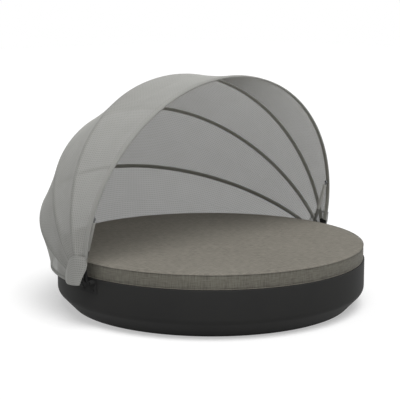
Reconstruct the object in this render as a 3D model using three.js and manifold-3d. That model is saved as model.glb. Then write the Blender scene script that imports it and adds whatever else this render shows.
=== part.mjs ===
// Outdoor daybed: a round drum with a seat cushion, and a canopy of mesh fabric on four bent bows.
// The bows turn on one axle across the drum and fold down behind the seat, helped by two gas struts.
// Millimetres. +Z is up, the open front faces -Y, and the origin is on the floor under the centre.
import * as THREE from 'three';
import { mergeVertices } from 'three/addons/utils/BufferGeometryUtils.js';
import Module from 'manifold-3d';

const wasm = await Module();
wasm.setup();

// Gaps and fineness
const FIT_GAP = 0.3;
const CUT_OVERRUN = 5;
const RING_SIDES = 64;
const SMALL_SIDES = 12;
const DRAIN_SIDES = 8;
const BOSS_SIDES = 16;
const HEX_SIDES = 6;
const BOW_STEPS = 44;
const HALF_TURN = 180;
const DEGREE = Math.PI / HALF_TURN;
const FACET_ANGLE = (2 * Math.PI) / RING_SIDES;

// Drum
const BASE_RADIUS = 1050;
const BASE_HEIGHT = 320;
const FOOT_DRAW_IN = 104;
const TAPER_HEIGHT = 114;
const SHELL_WALL = 6;
const SHELL_LIP_WIDTH = 60;
const RIM_BEVEL = 4;
const RIM_WIDTH = 58;
const LEDGE_WIDTH = 42;
const DECK_THICKNESS = 15;
const DECK_RECESS = 2;
const DRAIN_COUNT = 6;
const DRAIN_RADIUS = 16;
const DRAIN_INSET = 490;
const GLIDE_HEIGHT = 4;
const GLIDE_RADIUS = 20;
const GLIDE_INSET = 38;
const GLIDE_COUNT = 8;

// Cross of beams and its legs
const BEAM_WIDTH = 40;
const BEAM_HEIGHT = 60;
const BEAM_WALL = 3;
const BEAM_END_CLEARANCE = 25;
const POST_WIDTH = 50;
const POST_INSET = 410;
const FOOT_RADIUS = 42;
const FOOT_HEIGHT = 12;

// Cushion
const CUSHION_INSET = 7;
const CUSHION_EDGE_HEIGHT = 98;
const CUSHION_CROWN = 9;
const CUSHION_DRAW_IN = 3;
const CUSHION_CORNER = 13;

// Canopy bows: flat bars bent to part of an ellipse, the outermost one first in the nest
const AXLE_Y = -32;
const AXLE_DROP = 24;
const BOW_SIDE_CLEARANCE = 101;
const BOW_REAR_CLEARANCE = 40;
const BOW_CENTRE_RISE = 198;
const NEST_PITCH = 11;
const BAR_WIDTH = 28;
const BAR_THICKNESS = 9;
const BAR_CORNER = 2.5;
const EYE_RADIUS = 14;
const EYE_THICKNESS = 8;
const AXLE_RADIUS = 6;
const BOWS = [
  { name: 'bow_front', angle: 98.3, nest: 2 },
  { name: 'bow_second', angle: 73.8, nest: 0 },
  { name: 'bow_third', angle: 50, nest: 1 },
  { name: 'bow_rear', angle: 23.9, nest: 3 },
];

// Fabric
const FABRIC_THICKNESS = 1.6;
const SEAM_STEPS = 2;
const goreSagShare = 0.02;
const HEM_CLEARANCE = 44;
const HEM_DROP = 48;
const HEM_START_Y = 240;
const APRON_OVERLAP = 14;
const APRON_CLEARANCE = 4;
const APRON_TIP_Y = -22;
const APRON_TIP_RISE = 22;
const APRON_FLARE = 27;
const apronFlareShares = [0, 1, 0.4, 0];

// Side brackets
const BRACKET_THICKNESS = 6;
const BRACKET_HEIGHT = 84;
const bracketTurnShares = [-0.62, 1];
const BRACKET_DROP = 10;
const BACKING_THICKNESS = 5;
const AXLE_BOSS_RADIUS = 18;
const WASHER_GAP = 3;
const BOLT_HEAD_RADIUS = 11;
const BOLT_HEAD_HEIGHT = 7;
const NUT_HEIGHT = 9;
const HOLE_REACH = 60;
const BRACKET_BOLT_RADIUS = 4;
const BRACKET_BOLT_HEAD_RADIUS = 8;
const BRACKET_BOLT_HEAD_HEIGHT = 5;
const bracketBoltTurnShares = [-0.3, 0.6];
const BRACKET_BOLT_DROP = 50;

// Gas struts
const STRUT_OFFSET_Y = 84;
const STRUT_DROP = 5;
const STRUT_STUD_REACH = 424;
const STRUT_INSET = 19;
const CYLINDER_RADIUS = 10.5;
const CYLINDER_LENGTH = 270;
const CYLINDER_WALL = 1.5;
const CYLINDER_CAP = 12;
const ROD_RADIUS = 6;
const ROD_INSERTION = 32;
const EYELET_RADIUS = 12;
const EYELET_WIDTH = 12;
const NECK_LENGTH = 3;
const SHROUD_LENGTH = 200;
const SHROUD_NECK = 9;
const SHROUD_WALL = 1.5;
const SHROUD_CLEARANCE = 0.7;
const PIN_RADIUS = 5;
const PIN_BOSS_RADIUS = 11;
const PIN_HEAD_RADIUS = 8;
const PIN_HEAD_THICKNESS = 3;
const STUD_RADIUS = 5;

// Rear rail
const RAIL_THICKNESS = 6;
const RAIL_HEIGHT = 16;
const RAIL_CLEARANCE = 1.2;
const RAIL_FIRST_FACET = 2;
const RAIL_CLIP_WIDTH = 40;
const RAIL_CLIP_FACETS = [4, 16, 28];

const material = (color, roughness, metalness) =>
  new THREE.MeshStandardMaterial({ color, roughness, metalness, side: THREE.DoubleSide });

const FINISH = {
  shell: material('#2f2f2f', 0.6, 0),
  deck: material('#4a4a48', 0.7, 0),
  frame: material('#8a8c8e', 0.4, 0.8),
  cushion: material('#7f7e76', 0.95, 0),
  bow: material('#575752', 0.5, 0.3),
  hardware: material('#26272a', 0.4, 0.6),
  chrome: material('#9c9d9f', 0.25, 1),
  rubber: material('#1c1c1c', 0.8, 0),
  fabric: material('#959593', 0.9, 0),
};

const daybed = new THREE.Group();

function addPiece(name, geometry, finish, parent = daybed) {
  const mesh = new THREE.Mesh(geometry, finish.clone());
  mesh.name = name;
  parent.add(mesh);
  return mesh;
}

// Booleans between closed meshes

function toSolid(geometry) {
  const bare = new THREE.BufferGeometry();
  bare.setAttribute('position', geometry.getAttribute('position'));
  if (geometry.index) bare.setIndex(geometry.index);
  const merged = mergeVertices(bare);
  return new wasm.Manifold(new wasm.Mesh({
    numProp: 3,
    vertProperties: merged.getAttribute('position').array,
    triVerts: new Uint32Array(merged.index.array),
  }));
}

function toGeometry(solid) {
  const mesh = solid.getMesh();
  const geometry = new THREE.BufferGeometry();
  geometry.setAttribute('position', new THREE.BufferAttribute(mesh.vertProperties, mesh.numProp));
  geometry.setIndex(new THREE.BufferAttribute(mesh.triVerts, 1));
  geometry.computeVertexNormals();
  return geometry;
}

function shaped(body, { joins = [], cuts = [] }) {
  let solid = toSolid(body);
  joins.forEach((piece) => { solid = solid.add(toSolid(piece)); });
  cuts.forEach((tool) => { solid = solid.subtract(toSolid(tool)); });
  return toGeometry(solid);
}

// Basic solids

function turned(profile, sides = RING_SIDES) {
  const points = profile.map(([radius, height]) => new THREE.Vector2(radius, height));
  return new THREE.LatheGeometry(points, sides).rotateX(Math.PI / 2);
}

function disc(radius, low, high, sides = SMALL_SIDES) {
  return turned([[0, low], [radius, low], [radius, high], [0, high]], sides);
}

// A round bar along X from one side position to another.
function crossBar(radius, from, to, y = 0, z = 0, sides = SMALL_SIDES) {
  const bar = new THREE.CylinderGeometry(radius, radius, to - from, sides);
  return bar.rotateZ(-Math.PI / 2).translate((from + to) / 2, y, z);
}

// A place on a ring of the drum's own facets, at a turn from +X that is counted in facets.
function onFacets(radius, turn) {
  const off = (turn - Math.floor(turn) - 1 / 2) * FACET_ANGLE;
  const reach = (radius * Math.cos(FACET_ANGLE / 2)) / Math.cos(off);
  return [reach * Math.cos(turn * FACET_ANGLE), reach * Math.sin(turn * FACET_ANGLE)];
}

// A curved plate that keeps to the drum's facets, between two turns.
function curvedPlate(innerRadius, outerRadius, low, high, first, last) {
  const turns = [first];
  for (let turn = Math.floor(first) + 1; turn < last; turn += 1) turns.push(turn);
  turns.push(last);
  const outline = new THREE.Shape([
    ...turns.map((turn) => new THREE.Vector2(...onFacets(outerRadius, turn))),
    ...turns.reverse().map((turn) => new THREE.Vector2(...onFacets(innerRadius, turn))),
  ]);
  const plate = new THREE.ExtrudeGeometry(outline, { depth: high - low, bevelEnabled: false });
  return plate.translate(0, 0, low);
}

// A sheet with an outer and an inner face, closed round its edges. Both faces are grids of
// points with the same rows and columns, and the outer face is seen with its columns to the
// right of one another when its rows go up.
function sheetSolid(outer, inner) {
  const rows = outer.length;
  const columns = outer[0].length;
  const points = [...outer.flat(), ...inner.flat()];
  const faceSize = rows * columns;
  const at = (row, column, face) => face * faceSize + row * columns + column;
  const triangles = [];
  const quad = (a, b, c, d) => triangles.push(a, b, c, a, c, d);
  for (let row = 0; row + 1 < rows; row += 1) {
    for (let column = 0; column + 1 < columns; column += 1) {
      quad(at(row, column, 0), at(row, column + 1, 0),
        at(row + 1, column + 1, 0), at(row + 1, column, 0));
      quad(at(row, column, 1), at(row + 1, column, 1),
        at(row + 1, column + 1, 1), at(row, column + 1, 1));
    }
    quad(at(row, 0, 1), at(row, 0, 0), at(row + 1, 0, 0), at(row + 1, 0, 1));
    quad(at(row, columns - 1, 0), at(row, columns - 1, 1),
      at(row + 1, columns - 1, 1), at(row + 1, columns - 1, 0));
  }
  for (let column = 0; column + 1 < columns; column += 1) {
    quad(at(0, column, 0), at(0, column, 1), at(0, column + 1, 1), at(0, column + 1, 0));
    quad(at(rows - 1, column, 1), at(rows - 1, column, 0),
      at(rows - 1, column + 1, 0), at(rows - 1, column + 1, 1));
  }
  const geometry = new THREE.BufferGeometry();
  geometry.setAttribute('position', new THREE.Float32BufferAttribute(points.flat(), 3));
  geometry.setIndex(triangles);
  geometry.computeVertexNormals();
  return geometry;
}

// Sizes that follow from the driving ones
const footRadius = BASE_RADIUS - FOOT_DRAW_IN;
const cushionRadius = BASE_RADIUS - CUSHION_INSET;
const bowHalfWidth = BASE_RADIUS + BOW_SIDE_CLEARANCE;
const bowHalfHeight = BASE_RADIUS + BOW_REAR_CLEARANCE;
const hemRadius = BASE_RADIUS + HEM_CLEARANCE;
const hemHeight = BASE_HEIGHT - HEM_DROP;
const axleHeight = BASE_HEIGHT - AXLE_DROP;
const recessRadius = BASE_RADIUS - RIM_WIDTH;
const ledgeTop = BASE_HEIGHT - DECK_THICKNESS - DECK_RECESS;
const deckBottom = ledgeTop + FIT_GAP;
const cushionBottom = BASE_HEIGHT + FIT_GAP;
const beamTop = deckBottom - FIT_GAP;
const beamBottom = beamTop - BEAM_HEIGHT;
const halfFacet = FACET_ANGLE / 2;
const [frontBow, secondBow, thirdBow, rearBow] = BOWS;

// The drum

function baseShell() {
  const w = SHELL_WALL;
  const stepRadius = recessRadius + w;
  const innerFoot = footRadius - w;
  const profile = [
    [footRadius - SHELL_LIP_WIDTH, GLIDE_HEIGHT],
    [footRadius, GLIDE_HEIGHT],
    [BASE_RADIUS - RIM_BEVEL, TAPER_HEIGHT - RIM_BEVEL],
    [BASE_RADIUS, TAPER_HEIGHT + RIM_BEVEL],
    [BASE_RADIUS, BASE_HEIGHT - RIM_BEVEL],
    [BASE_RADIUS - RIM_BEVEL, BASE_HEIGHT],
    [recessRadius, BASE_HEIGHT],
    [recessRadius, ledgeTop],
    [recessRadius - LEDGE_WIDTH, ledgeTop],
    [recessRadius - LEDGE_WIDTH, ledgeTop - w],
    [stepRadius, ledgeTop - w],
    [stepRadius, BASE_HEIGHT - w],
    [BASE_RADIUS - w, BASE_HEIGHT - w],
    [BASE_RADIUS - w, TAPER_HEIGHT + w],
    [innerFoot, GLIDE_HEIGHT + w],
    [footRadius - SHELL_LIP_WIDTH, GLIDE_HEIGHT + w],
    [footRadius - SHELL_LIP_WIDTH, GLIDE_HEIGHT],
  ];
  return shaped(turned(profile), { cuts: [...sideHoles(1), ...sideHoles(-1)] });
}

function deckPanel() {
  const deckTop = deckBottom + DECK_THICKNESS;
  const drainRing = BASE_RADIUS - DRAIN_INSET;
  const board = disc(recessRadius - 2 * FIT_GAP, deckBottom, deckTop, RING_SIDES);
  const drains = Array.from({ length: DRAIN_COUNT }, (_, i) => {
    const angle = ((i + 1 / 2) * 2 * Math.PI) / DRAIN_COUNT;
    return disc(DRAIN_RADIUS, deckBottom - CUT_OVERRUN, deckTop + CUT_OVERRUN, DRAIN_SIDES)
      .translate(drainRing * Math.cos(angle), drainRing * Math.sin(angle), 0);
  });
  return shaped(board, { cuts: drains });
}

function seatCushion() {
  const top = cushionBottom + CUSHION_EDGE_HEIGHT;
  const corner = CUSHION_CORNER;
  const middle = cushionBottom + CUSHION_EDGE_HEIGHT / 2;
  const crownRadiusShares = [0.93, 0.75, 0.45];
  const crownRiseShares = [0.35, 0.72, 0.95];
  const crown = crownRadiusShares.map((share, i) => [
    cushionRadius * share,
    top + CUSHION_CROWN * crownRiseShares[i],
  ]);
  return turned([
    [0, cushionBottom],
    [cushionRadius - corner, cushionBottom],
    [cushionRadius - corner / 4, cushionBottom + corner / 4],
    [cushionRadius, cushionBottom + corner],
    [cushionRadius - CUSHION_DRAW_IN, middle],
    [cushionRadius, top - corner],
    [cushionRadius - corner / 4, top - corner / 4],
    [cushionRadius - corner, top],
    ...crown,
    [0, top + CUSHION_CROWN],
  ]);
}

// Square tubes under the deck: one right across, and one from it to the front and to the rear.

function squareTube(length, width, height, wall) {
  const body = new THREE.BoxGeometry(width, length, height);
  const bore = new THREE.BoxGeometry(width - 2 * wall, length + 2 * CUT_OVERRUN, height - 2 * wall);
  return shaped(body, { cuts: [bore] });
}

function addBeams() {
  const reach = recessRadius - LEDGE_WIDTH - BEAM_END_CLEARANCE;
  const middle = (beamTop + beamBottom) / 2;
  const beam = (name, length) =>
    addPiece(name, squareTube(length, BEAM_WIDTH, BEAM_HEIGHT, BEAM_WALL), FINISH.frame);
  const main = beam('main_beam', 2 * reach);
  main.rotation.z = Math.PI / 2;
  main.position.z = middle;
  const near = BEAM_WIDTH / 2 + FIT_GAP;
  [['front_beam', -1], ['rear_beam', 1]].forEach(([name, side]) => {
    beam(name, reach - near).position.set(0, (side * (reach + near)) / 2, middle);
  });
}

function addLegs() {
  const postTop = beamBottom - FIT_GAP;
  const postBottom = FOOT_HEIGHT + FIT_GAP;
  const ring = BASE_RADIUS - POST_INSET;
  const spots = [
    ['centre_post', 'centre_foot', 0, 0],
    ['post_left', 'foot_left', -ring, 0],
    ['post_right', 'foot_right', ring, 0],
    ['post_front', 'foot_front', 0, -ring],
    ['post_rear', 'foot_rear', 0, ring],
  ];
  spots.forEach(([postName, footName, x, y]) => {
    const box = new THREE.BoxGeometry(POST_WIDTH, POST_WIDTH, postTop - postBottom);
    const post = addPiece(postName, box, FINISH.frame);
    post.position.set(x, y, (postTop + postBottom) / 2);
    const foot = addPiece(footName, disc(FOOT_RADIUS, 0, FOOT_HEIGHT), FINISH.rubber);
    foot.position.set(x, y, 0);
  });
}

function addGlides() {
  const ring = footRadius - GLIDE_INSET;
  for (let i = 0; i < GLIDE_COUNT; i += 1) {
    const angle = ((i + 1 / 2) * 2 * Math.PI) / GLIDE_COUNT;
    const pad = disc(GLIDE_RADIUS, 0, GLIDE_HEIGHT - FIT_GAP);
    const glide = addPiece(`glide_${i + 1}`, pad, FINISH.rubber);
    glide.position.set(ring * Math.cos(angle), ring * Math.sin(angle), 0);
  }
}

// The bows. Each one is drawn in its own plane, with X across and Y up the bow from the axle.

const bowSize = (bow) => ({
  halfWidth: bowHalfWidth - bow.nest * NEST_PITCH,
  halfHeight: bowHalfHeight - bow.nest * NEST_PITCH,
});

// The arch angle of a bow's end, measured from the crown, where the bow meets the axle.
const endArch = (bow) => Math.acos(-BOW_CENTRE_RISE / bowSize(bow).halfHeight);

// Where the middle of the bar lies at an arch angle, and which way its outer face looks.
function onBow(bow, arch) {
  const { halfWidth, halfHeight } = bowSize(bow);
  const sin = Math.sin(arch);
  const cos = Math.cos(arch);
  return {
    across: halfWidth * sin,
    up: BOW_CENTRE_RISE + halfHeight * cos,
    normal: new THREE.Vector2(halfHeight * sin, halfWidth * cos).normalize(),
  };
}

// The side position of a bow's bar at a distance up from the axle.
function bowSide(bow, up) {
  const { halfWidth, halfHeight } = bowSize(bow);
  return halfWidth * Math.sqrt(1 - ((up - BOW_CENTRE_RISE) / halfHeight) ** 2);
}

class BowCurve extends THREE.Curve {
  constructor(bow) {
    super();
    this.bow = bow;
  }

  getPoint(t, target = new THREE.Vector3()) {
    const place = onBow(this.bow, endArch(this.bow) * (2 * t - 1));
    return target.set(place.across, place.up, 0);
  }

  // The rings of the bar lie at even steps of the arch angle, as the rows of the fabric do.
  getPointAt(t, target) {
    return this.getPoint(t, target);
  }

  getTangentAt(t, target) {
    return this.getTangent(t, target);
  }
}

function bowBar(bow) {
  const w = BAR_WIDTH / 2;
  const t = BAR_THICKNESS / 2;
  const c = BAR_CORNER;
  const section = new THREE.Shape([
    [w - c, -t], [w, c - t], [w, t - c], [w - c, t],
    [c - w, t], [-w, t - c], [-w, c - t], [c - w, -t],
  ].map(([x, y]) => new THREE.Vector2(x, y)));
  const bar = new THREE.ExtrudeGeometry(section, {
    steps: BOW_STEPS,
    bevelEnabled: false,
    extrudePath: new BowCurve(bow),
  });
  const side = bowSide(bow, 0);
  const half = EYE_THICKNESS / 2;
  const eyes = [-side, side].map((x) => crossBar(EYE_RADIUS, x - half, x + half));
  const hole = (radius, x, up) =>
    crossBar(radius + FIT_GAP, x - half - CUT_OVERRUN, x + half + CUT_OVERRUN, up);
  const holes = [-side, side].map((x) => hole(AXLE_RADIUS, x, 0));
  if (bow === frontBow) {
    const studSide = bowSide(bow, STRUT_STUD_REACH);
    holes.push(...[-studSide, studSide].map((x) => hole(STUD_RADIUS, x, STRUT_STUD_REACH)));
  }
  return shaped(bar, { joins: eyes, cuts: holes });
}

function bowPlane(bow) {
  const plane = new THREE.Group();
  plane.position.set(0, AXLE_Y, axleHeight);
  plane.rotation.x = bow.angle * DEGREE;
  daybed.add(plane);
  return plane;
}

// A place on a bow's outer face in the daybed's own frame: along the arch, off the face, and
// to the front or rear of the bar's middle line.
function fabricPoint(bow, arch, height, towardFront) {
  const { across, up, normal } = onBow(bow, arch);
  const off = BAR_THICKNESS / 2 + FIT_GAP + height;
  const along = up + normal.y * off;
  const angle = bow.angle * DEGREE;
  return [
    across + normal.x * off,
    AXLE_Y + along * Math.cos(angle) - towardFront * Math.sin(angle),
    axleHeight + along * Math.sin(angle) + towardFront * Math.cos(angle),
  ];
}

const between = (a, b, share) => a.map((value, i) => value + (b[i] - value) * share);

// The middle of a taut gore sags a little towards the seat.
function goreMiddle(a, b) {
  const middle = between(a, b, 1 / 2);
  const reach = Math.hypot(middle[0], middle[1] - AXLE_Y, middle[2] - axleHeight);
  const width = Math.hypot(b[0] - a[0], b[1] - a[1], b[2] - a[2]);
  const keep = 1 - (goreSagShare * width) / reach;
  return [
    middle[0] * keep,
    AXLE_Y + (middle[1] - AXLE_Y) * keep,
    axleHeight + (middle[2] - axleHeight) * keep,
  ];
}

// The rows of the fabric, as shares of the arch from the right side (1) to the left side (-1).
const panelRows = Array.from(
  { length: BOW_STEPS - 2 * SEAM_STEPS + 1 },
  (_, i) => 1 - (2 * (i + SEAM_STEPS)) / BOW_STEPS,
);

// A gore from one bow to the next one behind it. The front one also covers the front bow.
function gorePanel(front, rear, coversFront) {
  const half = BAR_WIDTH / 2;
  const face = (height) => panelRows.map((row) => {
    const frontArch = row * endArch(front);
    const rearArch = row * endArch(rear);
    const start = fabricPoint(front, frontArch, height, coversFront ? half : -FIT_GAP);
    const left = fabricPoint(front, frontArch, height, -half);
    const right = fabricPoint(rear, rearArch, height, half);
    const end = fabricPoint(rear, rearArch, height, FIT_GAP);
    return [start, left, goreMiddle(left, right), right, end];
  });
  return sheetSolid(face(FABRIC_THICKNESS), face(0));
}

// The hem's line round the rear, for a row of the fabric.
function hemPoint(row, radius, height) {
  const startAngle = Math.asin(HEM_START_Y / hemRadius);
  const rowEnd = panelRows[0];
  const angle = Math.PI / 2 - (row / rowEnd) * (Math.PI / 2 - startAngle);
  return [radius * Math.cos(angle), radius * Math.sin(angle), height];
}

// How far up the bows from the axle the fabric's lower edge lies.
const seamReach = onBow(secondBow, panelRows[0] * endArch(secondBow)).up;

// The rear panel falls from the rear bow to the hem behind the drum.
function rearPanel() {
  const half = BAR_WIDTH / 2;
  const railTop = hemHeight + RAIL_HEIGHT;
  const face = (height) => panelRows.map((row) => {
    const arch = row * endArch(rearBow);
    const start = fabricPoint(rearBow, arch, height, -FIT_GAP);
    const edge = fabricPoint(rearBow, arch, height, -half);
    const radius = hemRadius - FABRIC_THICKNESS + height;
    const top = hemPoint(row, radius, railTop);
    return [start, edge, goreMiddle(edge, top), top, hemPoint(row, radius, hemHeight)];
  });
  return sheetSolid(face(FABRIC_THICKNESS), face(0));
}

// The top corners of the flap's columns: one beside each bow, and the last one at the hem. The
// flap keeps outside each bow, stands a little wider at its two ends, and is sewn to the hem of
// the rear panel at its last corner.
function apronTop() {
  const cover = BAR_THICKNESS / 2 + FABRIC_THICKNESS + APRON_CLEARANCE;
  const reach = seamReach + APRON_OVERLAP;
  const spare = new Map([[frontBow, APRON_CLEARANCE], [rearBow, APRON_CLEARANCE]]);
  const top = BOWS.map((bow) => ({
    x: bowSide(bow, reach) + cover + (spare.get(bow) ?? 0),
    y: AXLE_Y + reach * Math.cos(bow.angle * DEGREE),
    z: axleHeight + reach * Math.sin(bow.angle * DEGREE),
  }));
  top[0].y -= BAR_WIDTH / 2;
  const hemSide = Math.sqrt(hemRadius ** 2 - HEM_START_Y ** 2) + FIT_GAP;
  return [...top, { x: hemSide, y: HEM_START_Y, z: hemHeight + RAIL_HEIGHT }];
}

// The side position of the flap at a place from front to rear, along a curve seen from above.
function apronSide(plan, y) {
  const tolerance = 1e-4;
  let low = 0;
  let high = 1;
  while (high - low > tolerance) {
    const middle = (low + high) / 2;
    if (plan.getPoint(middle).y < y) low = middle;
    else high = middle;
  }
  return plan.getPoint(low).x;
}

// The flap over the right axle hangs outside the bows, from beside the front bow to the hem. Its
// free front edge stands forward of the bow under the seam.
function sideApron() {
  const top = apronTop();
  const plan = new THREE.CatmullRomCurve3(top.map(({ x, y }) => new THREE.Vector3(x, y, 0)));
  const columns = top.length - 1;
  const rows = apronFlareShares.length - 1;
  const face = (height) => top.map((corner, column) => {
    const share = column / columns;
    const bottomY = APRON_TIP_Y + (HEM_START_Y - APRON_TIP_Y) * share;
    const bottomZ = hemHeight + APRON_TIP_RISE * (1 - share) ** 2;
    return apronFlareShares.map((flareShare, row) => {
      const fall = row / rows;
      const flare = column === 0 ? APRON_FLARE * flareShare : 0;
      const y = corner.y + (bottomY - corner.y) * fall - flare;
      const z = corner.z + (bottomZ - corner.z) * fall;
      return [apronSide(plan, y) + height, y, z];
    });
  });
  return sheetSolid(face(FABRIC_THICKNESS), face(0));
}

// What repeats at both sides is made for the right side, and the left group mirrors it.
const sides = { right: new THREE.Group(), left: new THREE.Group() };
sides.left.scale.x = -1;
daybed.add(sides.right, sides.left);

// Bracket: a curved plate on the wall, with a boss for the axle and a pin for the strut's foot.

const plateTop = BASE_HEIGHT - BRACKET_DROP;
const plateBottom = plateTop - BRACKET_HEIGHT;
const plateInner = BASE_RADIUS + FIT_GAP;
const plateOuter = plateInner + BRACKET_THICKNESS;
const backingOuter = BASE_RADIUS - SHELL_WALL - FIT_GAP;
const backingInner = backingOuter - BACKING_THICKNESS;
const stackInner = bowSide(rearBow, 0) - EYE_THICKNESS / 2 - WASHER_GAP;
const stackOuter = bowSide(secondBow, 0) + EYE_THICKNESS / 2 + WASHER_GAP;
const strutFootY = AXLE_Y + STRUT_OFFSET_Y;
const strutFootZ = axleHeight - STRUT_DROP;
const strutPlane = bowSide(frontBow, STRUT_STUD_REACH) - STRUT_INSET;
const eyeletInner = strutPlane - EYELET_WIDTH / 2;
const eyeletOuter = strutPlane + EYELET_WIDTH / 2;
const bracketBoltZ = axleHeight - BRACKET_BOLT_DROP;
const bracketBoltTurns = bracketBoltTurnShares.map((share) => share * FACET_ANGLE);

// The holes for the axle and the bracket bolts, as bars at the right side (1) or the left (-1).
function sideHoles(side) {
  const from = BASE_RADIUS - HOLE_REACH;
  const to = stackOuter + CUT_OVERRUN;
  const ends = side > 0 ? [from, to] : [-to, -from];
  const axle = crossBar(AXLE_RADIUS + FIT_GAP, ...ends, AXLE_Y, axleHeight);
  const bolts = bracketBoltTurns.map((turn) =>
    crossBar(BRACKET_BOLT_RADIUS + FIT_GAP, ...ends, 0, bracketBoltZ).rotateZ(side * turn));
  return [axle, ...bolts];
}

function bracket() {
  const plate = curvedPlate(plateInner, plateOuter, plateBottom, plateTop, ...bracketTurnShares);
  const root = plateInner + BRACKET_THICKNESS / 2;
  const pinHead = eyeletOuter + FIT_GAP;
  return shaped(plate, {
    joins: [
      crossBar(AXLE_BOSS_RADIUS, root, stackInner, AXLE_Y, axleHeight, BOSS_SIDES),
      crossBar(PIN_BOSS_RADIUS, root, eyeletInner - FIT_GAP, strutFootY, strutFootZ),
      crossBar(PIN_RADIUS, root, pinHead + PIN_HEAD_THICKNESS, strutFootY, strutFootZ),
      crossBar(PIN_HEAD_RADIUS, pinHead, pinHead + PIN_HEAD_THICKNESS, strutFootY, strutFootZ),
    ],
    cuts: sideHoles(1),
  });
}

function backingPlate() {
  const top = BASE_HEIGHT - SHELL_WALL - BRACKET_THICKNESS;
  const plate = curvedPlate(backingInner, backingOuter, plateBottom, top, ...bracketTurnShares);
  return shaped(plate, { cuts: sideHoles(1) });
}

// The face of the backing plate leans by half a facet, so the nut stands off by that much.
function nutFace() {
  const reach = Math.abs(AXLE_Y) + BOLT_HEAD_RADIUS;
  return backingInner - reach * Math.tan(halfFacet) - FIT_GAP;
}

function addAxle(side, group) {
  const nutOuter = nutFace();
  const nutInner = nutOuter - NUT_HEIGHT;
  const onAxle = (radius, from, to, sidesRound) =>
    crossBar(radius, from, to, AXLE_Y, axleHeight, sidesRound);
  const shank = onAxle(AXLE_RADIUS, nutInner, stackOuter + BOLT_HEAD_HEIGHT / 2);
  const head = onAxle(BOLT_HEAD_RADIUS, stackOuter, stackOuter + BOLT_HEAD_HEIGHT);
  addPiece(`pivot_bolt_${side}`, shaped(shank, { joins: [head] }), FINISH.hardware, group);
  const nut = onAxle(BOLT_HEAD_RADIUS, nutInner, nutOuter, HEX_SIDES);
  const thread = onAxle(AXLE_RADIUS + FIT_GAP, nutInner - CUT_OVERRUN, nutOuter + CUT_OVERRUN);
  addPiece(`pivot_nut_${side}`, shaped(nut, { cuts: [thread] }), FINISH.hardware, group);
}

// Each bracket bolt has its nut on it, inside the backing plate.
function addBracketBolts(side, group) {
  const lean = BRACKET_BOLT_HEAD_RADIUS * Math.tan(halfFacet);
  const headFace = plateOuter + lean + FIT_GAP;
  const nutOuter = backingInner * Math.cos(halfFacet) - lean - FIT_GAP;
  const height = BRACKET_BOLT_HEAD_HEIGHT;
  bracketBoltTurns.forEach((turn, i) => {
    const shank = crossBar(BRACKET_BOLT_RADIUS, nutOuter - height / 2, headFace + height / 2);
    const head = crossBar(BRACKET_BOLT_HEAD_RADIUS, headFace, headFace + height);
    const nut = crossBar(BRACKET_BOLT_HEAD_RADIUS, nutOuter - height, nutOuter, 0, 0, HEX_SIDES);
    const bolt = shaped(shank, { joins: [head, nut] });
    const piece = addPiece(`bracket_bolt_${side}_${i + 1}`, bolt, FINISH.hardware, group);
    piece.rotation.z = turn;
    piece.position.z = bracketBoltZ;
  });
}

// Gas strut. Each piece is drawn along Y from the strut's foot.

function strutRest() {
  const angle = frontBow.angle * DEGREE;
  const y = AXLE_Y + STRUT_STUD_REACH * Math.cos(angle) - strutFootY;
  const z = axleHeight + STRUT_STUD_REACH * Math.sin(angle) - strutFootZ;
  return { length: Math.hypot(y, z), angle: Math.atan2(z, y) };
}

const eyelet = (at) => crossBar(EYELET_RADIUS, -EYELET_WIDTH / 2, EYELET_WIDTH / 2, at);
const eyeletHole = (at) => crossBar(PIN_RADIUS + FIT_GAP, -EYELET_WIDTH, EYELET_WIDTH, at);
const alongStrut = (profile) => turned(profile, SMALL_SIDES).rotateX(-Math.PI / 2);

function gasCylinder() {
  const neckStart = EYELET_RADIUS - PIN_RADIUS / 2;
  const start = EYELET_RADIUS + NECK_LENGTH;
  const capped = CYLINDER_LENGTH - CYLINDER_CAP;
  const bore = CYLINDER_RADIUS - CYLINDER_WALL;
  const tube = alongStrut([
    [0, neckStart],
    [PIN_RADIUS, neckStart],
    [PIN_RADIUS, start],
    [CYLINDER_RADIUS, start],
    [CYLINDER_RADIUS, CYLINDER_LENGTH],
    [ROD_RADIUS + FIT_GAP, CYLINDER_LENGTH],
    [ROD_RADIUS + FIT_GAP, capped],
    [bore, capped],
    [bore, start + CYLINDER_CAP],
    [0, start + CYLINDER_CAP],
  ]);
  return shaped(tube, { joins: [eyelet(0)], cuts: [eyeletHole(0)] });
}

// The rod is one turned piece with its piston and its dust shroud, a tube that slides over the
// cylinder, and ends in an eyelet beside the stud.
function gasRod(length) {
  const piston = CYLINDER_LENGTH - CYLINDER_CAP - ROD_INSERTION;
  const pistonRadius = CYLINDER_RADIUS - CYLINDER_WALL - FIT_GAP;
  const end = length - EYELET_RADIUS / 2;
  const shroudEnd = length - EYELET_RADIUS - SHROUD_NECK;
  const shroudStart = shroudEnd - SHROUD_LENGTH;
  const shroudInner = CYLINDER_RADIUS + SHROUD_CLEARANCE;
  const shroudOuter = shroudInner + SHROUD_WALL;
  const rod = alongStrut([
    [0, piston],
    [pistonRadius, piston],
    [pistonRadius, piston + CYLINDER_CAP],
    [ROD_RADIUS, piston + CYLINDER_CAP],
    [ROD_RADIUS, shroudEnd - 2 * SHROUD_WALL],
    [shroudInner, shroudEnd - 2 * SHROUD_WALL],
    [shroudInner, shroudStart],
    [shroudOuter, shroudStart],
    [shroudOuter, shroudEnd],
    [ROD_RADIUS, shroudEnd],
    [ROD_RADIUS, end],
    [0, end],
  ]);
  return shaped(rod, { joins: [eyelet(length)], cuts: [eyeletHole(length)] });
}

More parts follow.
